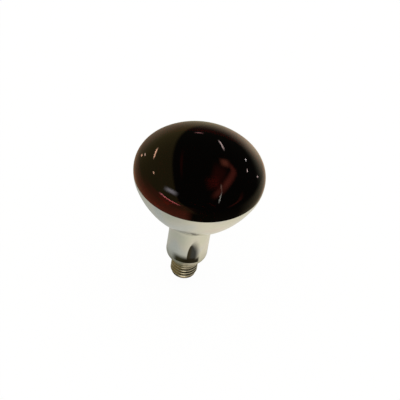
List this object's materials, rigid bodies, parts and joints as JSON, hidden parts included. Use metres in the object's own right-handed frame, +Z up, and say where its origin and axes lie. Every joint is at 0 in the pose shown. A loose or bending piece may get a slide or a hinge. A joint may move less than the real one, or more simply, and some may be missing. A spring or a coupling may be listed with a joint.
{
  "type": "infrared heat bulb",
  "caption": "Blown reflector heat bulb with a deep red face, a mirrored bowl and neck, a ring filament on a pressed glass stem, and a rolled screw cap.",
  "frame": {"origin": "middle of the flat on the centre contact's solder, at the cap's lower end", "axes": "+Z up the bulb's axis from the cap to the crown of the face; the press is wide along X, and the solder on the shell's rim is at +Y"},
  "size_m": [0.125, 0.125, 0.178],
  "materials": {
    "bulb_glass": "smooth",
    "mirror_coat": "satin mirror",
    "red_coat": "smooth, deep ruby",
    "stem_glass": "smooth",
    "nickel_wire": "drawn",
    "copper_wire": "drawn",
    "molybdenum": "drawn",
    "tungsten": "coiled wire",
    "shield_metal": "satin",
    "cap_shell": "nickel-plated, satin",
    "cement": "matt",
    "cap_glass": "glossy black",
    "contact_brass": "satin",
    "solder": "dull bright"
  },
  "bodies": {
    "root": {"envelope": "bulb_glass", "mirror_coat": "mirror_coat", "red_coat": "red_coat", "stem": "stem_glass", "exhaust_tube": "stem_glass", "arbor": "stem_glass", "inner_lead_left": "nickel_wire", "inner_lead_right": "nickel_wire", "seal_wire_left": "copper_wire", "seal_wire_right": "copper_wire", "outer_lead_centre": "copper_wire", "outer_lead_side": "copper_wire", "support_wire_1": "molybdenum", "support_wire_2": "molybdenum", "support_wire_3": "molybdenum", "support_wire_4": "molybdenum", "support_wire_5": "molybdenum", "filament": "tungsten", "heat_shield": "shield_metal", "shield_rivet": "shield_metal", "screw_shell": "cap_shell", "basing_cement": "cement", "black_glass": "cap_glass", "contact_plate": "contact_brass", "centre_solder": "solder", "side_solder": "solder"}
  },
  "joints": []
}
